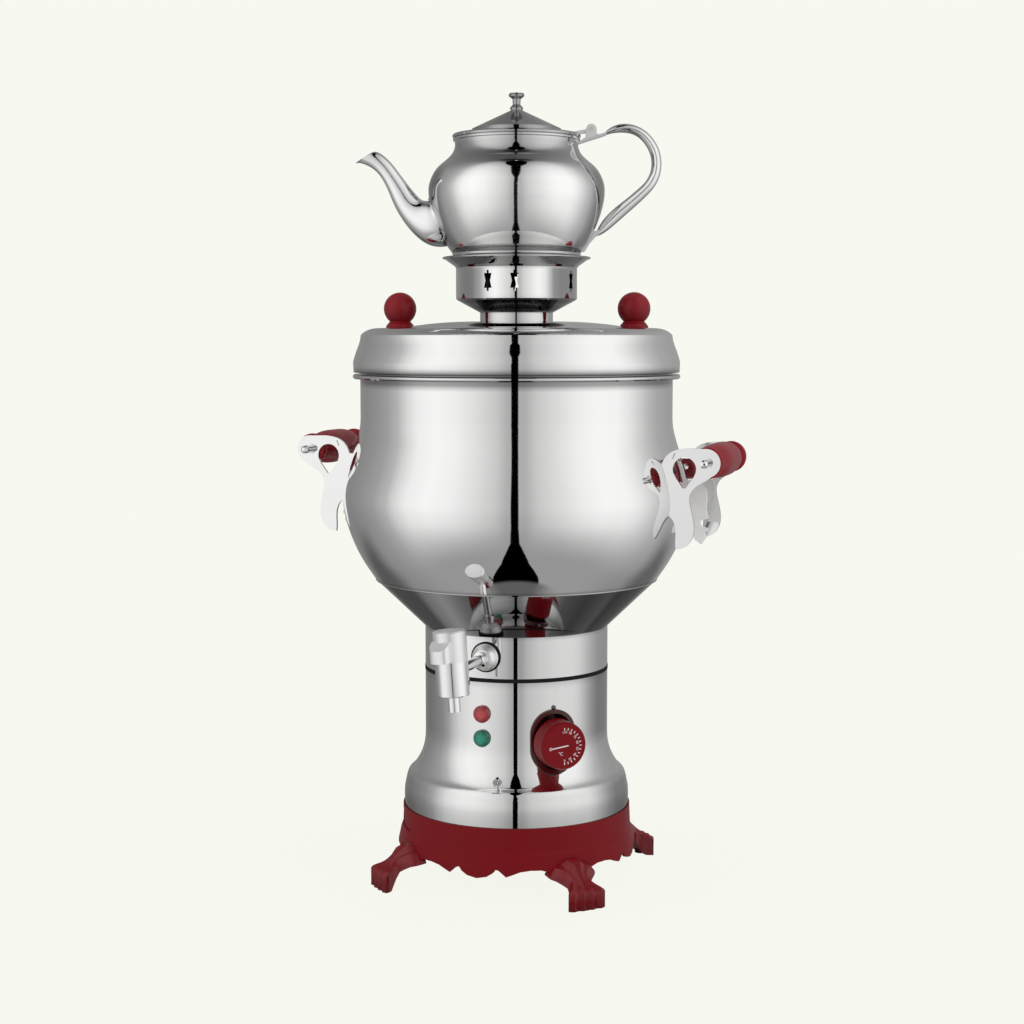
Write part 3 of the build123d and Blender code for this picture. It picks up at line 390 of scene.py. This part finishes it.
def addPiece(name, points, faces, material, body, place=None, smooth=True, creases=()):
    # points in millimetres, in the object's frame or in the frame given; creases are pairs of points
    mesh = bpy.data.meshes.new(name)
    mesh.from_pydata([Vector(point) * mm for point in points], [], faces)
    mesh.validate()
    if place is not None:
        mesh.transform(place)
    if smooth:
        mesh.shade_smooth()
    sharp = {frozenset(pair) for pair in creases}
    for edge in mesh.edges:
        if frozenset(edge.vertices) in sharp:
            edge.use_edge_sharp = True
    mesh.materials.append(material)
    piece = bpy.data.objects.new(name, mesh)
    bpy.context.scene.collection.objects.link(piece)
    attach(piece, body)
    return piece


def glyphs(text, size, thickness):
    # flat lettering as points and faces, centred, in millimetres
    curve = bpy.data.curves.new("lettering", "FONT")
    curve.body = text
    curve.size = size
    curve.extrude = thickness / 2
    curve.align_x = "CENTER"
    curve.align_y = "CENTER"
    curve.resolution_u = 3
    holder = bpy.data.objects.new("lettering", curve)
    bpy.context.scene.collection.objects.link(holder)
    bpy.context.view_layer.update()
    mesh = bpy.data.meshes.new_from_object(holder)
    points = [vertex.co.copy() for vertex in mesh.vertices]
    faces = [tuple(face.vertices) for face in mesh.polygons]
    bpy.data.objects.remove(holder)
    bpy.data.curves.remove(curve)
    bpy.data.meshes.remove(mesh)
    return points, faces


class Print:
    # raised ink gathered into one mesh; a bar ends in a short taper
    taper = {"reach": 0.6, "width": 0.5}

    def __init__(self, thickness):
        self.points = []
        self.faces = []
        self.thickness = thickness

    def put(self, points, faces):
        start = len(self.points)
        self.points += points
        self.faces += [tuple(start + i for i in face) for face in faces]

    def plate(self, corners):
        count = len(corners)
        top, bottom = self.thickness / 2, -self.thickness / 2
        points = [Vector((x, y, z)) for z in (bottom, top) for x, y in corners]
        sides = [(i, (i + 1) % count, count + (i + 1) % count, count + i) for i in range(count)]
        self.put(points, sides + [tuple(range(count, 2 * count)), tuple(reversed(range(count)))])

    def bar(self, start, end, width):
        along = Vector((end[0] - start[0], end[1] - start[1])).normalized() * width / 2
        side = Vector((-along.y, along.x))
        a, b = Vector(start), Vector(end)
        tip = b + along * self.taper["reach"]
        narrow = side * self.taper["width"]
        self.plate([a - side, b - side, tip - narrow, tip + narrow, b + side, a + side])

    def ring(self, centre, inner, outer, steps=20):
        for step in range(steps):
            a, b = 2 * pi * step / steps, 2 * pi * (step + 1) / steps
            self.plate([(centre[0] + r * cos(t), centre[1] + r * sin(t))
                        for r, t in ((inner, a), (outer, a), (outer, b), (inner, b))])

    def word(self, text, size, place, turn):
        points, faces = glyphs(text, size, self.thickness)
        spin = Matrix.Rotation(turn, 4, "Z")
        self.put([spin @ point + Vector((place[0], place[1], 0)) for point in points], faces)


# the angle is counted round from the tap; the face is the knob's front, measured from the axis
dial = {"angle": 41.6, "height": 133.0 - floorDrop, "face": 99.6, "thickness": 0.12, "lift": 0.4,
        "tickCount": 15, "tickReach": (13.2, 14.9), "tickWidth": 0.8,
        "numbers": ("110", "90", "75", "60", "50", "40", "30", "0"), "numberReach": 11.5,
        "numberSize": 2.9, "ringPlace": (-12.2, -1.4), "ringSize": (0.75, 1.3),
        "pointerWidth": 1.0, "pointerEnd": (3.3, 0.4), "unitPlace": (-3.4, -6.0), "unitSize": 4.0}


def buildDialPrint():
    ink = Print(dial["thickness"])
    spacing = pi / (dial["tickCount"] - 1)
    for index in range(dial["tickCount"]):
        angle = pi / 2 - index * spacing
        start, end = [(reach * cos(angle), reach * sin(angle)) for reach in dial["tickReach"]]
        ink.bar(start, end, dial["tickWidth"])
    for index, text in enumerate(dial["numbers"]):
        angle = pi / 2 - 2 * index * spacing
        place = (dial["numberReach"] * cos(angle), dial["numberReach"] * sin(angle))
        ink.word(text, dial["numberSize"], place, angle - pi / 2)
    ink.ring(dial["ringPlace"], *dial["ringSize"])
    start = (dial["ringPlace"][0] + dial["ringSize"][1], dial["ringPlace"][1])
    ink.bar(start, dial["pointerEnd"], dial["pointerWidth"])
    ink.word("\u00b0C", dial["unitSize"], dial["unitPlace"], 0.0)
    face = dial["face"] + dial["thickness"] * dial["lift"]
    addPiece("dialPrint", ink.points, ink.faces, whiteInk, "thermostat_knob",
             outwardFrame(dial["angle"], face, dial["height"]), smooth=False)


def latheMesh(profile, segments, closed=False):
    # a profile of reach and height, turned round the Z axis
    points, faces = [], []
    count = len(profile)
    for turn in range(segments):
        angle = 2 * pi * turn / segments
        points += [(r * cos(angle), r * sin(angle), z) for r, z in profile]
    for turn in range(segments):
        here, there = turn * count, (turn + 1) % segments * count
        for i in range(count if closed else count - 1):
            j = (i + 1) % count
            faces.append((here + i, there + i, there + j, here + j))
    return points, faces


dot = {"reach": 77.6, "height": 160.8 - floorDrop, "segments": 24,
       "dome": [(2.0, -0.4), (2.0, 0.5), (1.8, 1.0), (1.2, 1.5), (0.5, 1.7), (0.02, 1.75)]}


def buildIndexDot():
    # a small domed rivet over the dial
    points, faces = latheMesh(dot["dome"], dot["segments"])
    addPiece("indexDot", points, faces, darkDot, "base_and_tank",
             outwardFrame(dial["angle"], dot["reach"], dot["height"]))


bead = {"radius": 118.9, "height": 259.0 - floorDrop, "wire": 0.55, "sides": 10, "segments": 160}


def buildWeldLine():
    # the bead where the bowl is welded to the cone; the tank's painted shade darkens it at this height
    angles = [2 * pi * side / bead["sides"] for side in range(bead["sides"])]
    circle = [(bead["radius"] + bead["wire"] * cos(a), bead["height"] + bead["wire"] * sin(a))
              for a in angles]
    points, faces = latheMesh(circle, bead["segments"], closed=True)
    addPiece("weldLine", points, faces, steel, "base_and_tank")


foot = {"angles": {"front_right": 45, "front_left": -45, "rear_right": 135, "rear_left": -135},
        "underside": [(94, 27.2), (106, 25.4), (113.4, 19.2), (117.4, 11.2), (121, 5.1), (131, 5.1)],
        # reach, height of the middle, half width, fall towards the sides, depth of the folds;
        # heights are counted from the drawing's zero
        "rows": [(94, 41.0, 21.0, 12.4, 0.0), (100.5, 41.2, 20.8, 12.2, 0.6),
                 (103.5, 41.0, 20.4, 11.6, 2.2), (107, 38.8, 17.2, 8.6, 2.4),
                 (110, 35.8, 13.3, 6.0, 2.2), (113, 32.6, 10.1, 4.0, 1.8),
                 (116, 29.8, 9.3, 2.8, 1.5), (119, 27.0, 10.4, 2.0, 1.5),
                 (121.6, 25.0, 12.6, 1.5, 1.6), (124, 23.6, 14.8, 1.0, 1.8),
                 (127.2, 22.4, 16.0, 0.8, 2.0)],
        # the notched front edge
        "frontRows": [(129.3, 21.9, 16.2, 0.8, 2.0), (130.7, 20.4, 16.4, 0.8, 1.2)],
        "folds": 4, "notch": 1.7, "bow": 1.4, "thinnest": 0.5}


def between(pairs, value):
    # straight lines between listed pairs
    for (a, low), (b, high) in zip(pairs, pairs[1:]):
        if value <= b:
            return low + (high - low) * max(value - a, 0) / (b - a)
    return pairs[-1][1]


def footSection(reach, middle, half, fall, depth, notch=0.0, bow=0.0):
    # one closed section across the foot: the pleated top from side to side, then the underside back
    top, bottom = [], []
    count = 2 * foot["folds"]
    for i in range(count + 1):
        share = 2 * i / count - 1
        fold = i % 2
        here = reach - (0 if fold else notch) - bow * share ** 2
        top.append((here, half * share, middle - fall * share ** 2 - (0 if fold else depth)))
        low = between(foot["underside"], here)
        bottom.append((here, half * share, min(low, top[-1][2] - foot["thinnest"])))
    return top + bottom[::-1]


def buildFoot(name, angle):
    sections = [footSection(*row) for row in foot["rows"]]
    sections += [footSection(*row, foot["notch"], foot["bow"]) for row in foot["frontRows"]]
    count = len(sections[0])
    points = [point for section in sections for point in section]
    faces, creases = [], []
    for row in range(len(sections) - 1):
        a, b = row * count, (row + 1) * count
        for i in range(count):
            j = (i + 1) % count
            faces.append((a + i, b + i, b + j, a + j))
            creases.append((a + i, b + i))
    half = count // 2
    start = (len(sections) - 1) * count
    for i in range(half - 1):
        faces.append((start + i, start + count - 1 - i, start + count - 2 - i, start + i + 1))
        creases.append((start + i, start + i + 1))
        creases.append((start + i, start + count - 1 - i))
    faces.append(tuple(reversed(range(count))))
    # the sections run along +X, and the angles are counted from the front
    turn = Matrix.Rotation(radians(angle - 90), 4, "Z")
    place = turn @ Matrix.Translation((0, 0, -floorDrop * mm))
    piece = addPiece("clawFoot_" + name, points, faces, redFoot, "base_and_tank",
                     place, creases=creases)
    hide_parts("foot_" + name)


potHandle = {"centre": [(74.5, 630.3), (78.8, 632.6), (87.1, 634.6), (96.5, 633.8), (103.8, 630.4),
                        (110.6, 623.6), (115.1, 615.0), (116.5, 606.6), (115.3, 597.3),
                        (110.1, 587.7), (104.2, 581.7), (97.1, 575.4), (89.4, 569.0), (82.1, 562.7),
                        (75.3, 556.1), (70.3, 550.7)],
             # half the handle's width, half the seam's, and the seam's section: across and outwards
             "side": 6.0, "seam": 0.3, "section": ((-1, -0.4), (0, 0.12), (1, -0.4), (0, -0.9))}


def buildHandleSeam():
    # the closed seam along both sides of the rolled handle, near-black as painted shade in the seam
    points, faces = [], []
    centre, seam = potHandle["centre"], potHandle["seam"]
    for side in (-1, 1):
        begin = len(points)
        for index, (x, z) in enumerate(centre):
            x0, z0 = centre[max(index - 1, 0)]
            x1, z1 = centre[min(index + 1, len(centre) - 1)]
            length = hypot(x1 - x0, z1 - z0)
            across = (-(z1 - z0) / length, (x1 - x0) / length)
            for lift, out in potHandle["section"]:
                points.append((x + across[0] * seam * lift, side * (potHandle["side"] + out),
                               z - floorDrop + across[1] * seam * lift))
        for index in range(len(centre) - 1):
            a = begin + index * 4
            faces += [(a + i, a + (i + 1) % 4, a + 4 + (i + 1) % 4, a + 4 + i) for i in range(4)]
    addPiece("handleSeam", points, faces, grooveShade, "teapot",
             Matrix.Rotation(potTurn, 4, "Z"))


buildDialPrint()
buildIndexDot()
buildWeldLine()
for footName, footAngle in foot["angles"].items():
    buildFoot(footName, footAngle)
buildHandleSeam()
print("pieces added")


# ---- stage
# angles are in degrees: round from the camera's side, or up from the level of the room's centre
room = {"radius": 4000.0, "centre": 0.33, "segments": 120, "rings": 60, "topAngle": 89,
        "white": (0.93, 0.94, 0.875, 1), "unseenLight": (0.62, 0.62, 0.62, 1),
        "boxLight": (1, 1, 0.995, 1),
        # brightness round from the camera's side, and the greatest that is listed
        "azimuth": [(-180, 0.28), (-140, 0.26), (-121, 0.31), (-106, 0.38), (-94, 0.52), (-85, 0.76),
                    (-75, 0.97), (-60, 1.05), (-43, 0.98), (-28, 0.82), (-14, 0.65), (-6, 0.48),
                    (6, 0.48), (14, 0.65), (28, 0.80), (43, 0.96), (58, 1.05), (76, 1.03), (86, 0.92),
                    (96, 0.75), (108, 0.56), (122, 0.43), (142, 0.37), (180, 0.34)],
        "brightest": 1.1,
        # its share at an angle up from the centre
        "height": [(-90, 0.85), (-14, 0.9), (-5, 0.97), (2, 1.0), (32, 1.0), (45, 0.92), (60, 0.75),
                   (72, 0.5), (77, 0.36), (81, 0.12), (85, 0.07), (90, 0.03)],
        # half the width of the dark gap between the soft boxes, its shift and its soft edge
        "gap": [(-90, 36), (-70, 34), (-63, 24), (-55, 13), (-47, 7.5), (-40, 3.4), (-25, 2.5),
                (34, 2.45), (45, 6), (66, 11), (80, 50), (90, 90)],
        "aside": 1.2, "edge": 0.35,
        # the pale ground as reflections show it, duller behind the object
        "ground": {"rise": (-52.0, -15.0), "light": 0.34, "loss": 0.3, "behind": (80.0, 140.0)},
        # the shadow under the object
        "under": {"rise": (-72.0, -69.0), "light": 0.12, "gain": 0.2, "beside": (25.0, 70.0)},
        # a darker band low down beside and behind the object
        "band": {"behind": (116.0, 138.0), "foot": (-47.0, -41.0), "top": (-26.0, -14.0),
                 "depth": 0.56}}
ground = {"side": 60.0, "glowShare": 0.96, "fade": (0.5, 2.2), "matt": (0.9, 0.9, 0.88, 1)}
lamps = {"fillLeft": {"place": (-1.5, -1.3, 1.7), "size": 1.2, "power": 9.0},
         "fillRight": {"place": (1.9, -0.7, 1.5), "size": 1.2, "power": 8.0},
         "fillTop": {"place": (0.1, 0.2, 2.1), "size": 1.6, "power": 10.0}}
lampTarget = (0, 0, 0.3)
view = {"reach": 1.55774, "height": 0.45783, "lens": 64.863, "sensor": 36.0,
        "down": radians(5.418), "aside": radians(0.14)}


def riseFrom(tree, height):
    # how far a point lies above or below a height on the axis, in degrees
    x, y, z = tree.parts(tree.place())
    reach = (x * x + y * y).root()
    return reach.maths("ARCTAN2", z - height, reach) * (180 / pi)


def backgroundWhite():
    world = bpy.data.worlds.new("studioWorld")
    world.use_nodes = True
    bpy.context.scene.world = world
    tree = Tree(world)
    tone = tree.blendColours(tree.seen(), room["unseenLight"], room["white"])
    shader = tree.add("ShaderNodeBackground", {}, {"Color": tone, "Strength": 1.0})
    tree.finish(shader, "ShaderNodeOutputWorld")


def buildFloor():
    # pale ground that turns into the backdrop a little way off
    mesh = bpy.data.meshes.new("floor")
    side, glowShare = ground["side"], ground["glowShare"]
    corners = [(-side, -side, 0), (side, -side, 0), (side, side, 0), (-side, side, 0)]
    mesh.from_pydata(corners, [], [(0, 1, 2, 3)])
    floor = bpy.data.objects.new("floor", mesh)
    bpy.context.scene.collection.objects.link(floor)
    floor.visible_glossy = False
    material, tree = newMaterial("paleFloor")
    x, y, z = tree.parts(tree.place())
    reach = (x * x + y * y).root()
    glow = tree.add("ShaderNodeEmission", {}, {"Color": room["white"], "Strength": 1.0})
    matt = tree.add("ShaderNodeBsdfDiffuse", {}, {"Color": ground["matt"]})
    share = tree.seen() * (glowShare + (1.0 - glowShare) * reach.between(*ground["fade"]))
    tree.finish(tree.add("ShaderNodeMixShader", {}, {0: share, 1: matt, 2: glow}))
    mesh.materials.append(material)


def domeLight(tree):
    # how bright the dome is at each point of it
    around, rise = tree.aroundCamera(), riseFrom(tree, room["centre"])
    pale, under, band = room["ground"], room["under"], room["band"]
    byAngle = tree.against(room["azimuth"], around, -180, 180, room["brightest"])
    byHeight = tree.against(room["height"], rise, -90, 90)
    gapHalf = tree.against(room["gap"], rise, -90, 90, 90.0) * 90.0
    low = 1.0 - rise.between(*pale["rise"])
    paleLight = pale["light"] * (1.0 - pale["loss"] * around.size().between(*pale["behind"]))
    dim = around.size().between(*band["behind"]) * rise.between(*band["foot"])
    dim = dim * (1.0 - rise.between(*band["top"])) * band["depth"]
    boxes = (byAngle * byHeight) * room["brightest"] * (1.0 - low) + paleLight * low
    lit = ((around + room["aside"]).size() - gapHalf).between(-room["edge"], room["edge"])
    underShare = 1.0 - rise.between(*under["rise"])
    underLight = under["light"] + under["gain"] * around.size().between(*under["beside"])
    return boxes * (1.0 - dim) * lit * (1.0 - underShare) + underShare * underLight


def buildDome():
    # soft boxes all round the object, with a dark gap on the camera's side; only reflections see them
    material, tree = newMaterial("softBoxes")
    sockets = {"Color": room["boxLight"], "Strength": domeLight(tree)}
    tree.finish(tree.add("ShaderNodeEmission", {}, sockets))
    middle, top = room["centre"] / mm, room["topAngle"]
    rises = [radians(-top + 2 * top * ring / room["rings"]) for ring in range(room["rings"] + 1)]
    profile = [(room["radius"] * cos(a), middle + room["radius"] * sin(a)) for a in rises]
    points, faces = latheMesh(profile, room["segments"])
    mesh = bpy.data.meshes.new("softBoxDome")
    mesh.from_pydata([Vector(point) * mm for point in points], [], faces)
    mesh.materials.append(material)
    mesh.shade_smooth()
    dome = bpy.data.objects.new("softBoxDome", mesh)
    bpy.context.scene.collection.objects.link(dome)
    for ray in ("camera", "diffuse", "transmission", "shadow", "volume_scatter"):
        setattr(dome, "visible_" + ray, False)


def buildLamps():
    for name, values in lamps.items():
        lamp = bpy.data.lights.new(name, "AREA")
        lamp.size = values["size"]
        lamp.energy = values["power"]
        holder = bpy.data.objects.new(name, lamp)
        holder.location = values["place"]
        sight = Vector(lampTarget) - Vector(values["place"])
        holder.rotation_euler = sight.to_track_quat("-Z", "Y").to_euler()
        holder.visible_glossy = False
        bpy.context.scene.collection.objects.link(holder)


def buildCamera():
    data = bpy.data.cameras.new("camera")
    data.lens = view["lens"]
    data.sensor_width = view["sensor"]
    camera = bpy.data.objects.new("camera", data)
    reach = view["reach"]
    camera.location = (reach * sin(cameraSide), -reach * cos(cameraSide), view["height"])
    camera.rotation_euler = (pi / 2 - view["down"], 0, cameraSide + view["aside"])
    bpy.context.scene.collection.objects.link(camera)
    bpy.context.scene.camera = camera


backgroundWhite()
buildFloor()
buildDome()
buildLamps()
buildCamera()
bpy.context.scene.view_settings.view_transform = "Standard"
print("stage set")
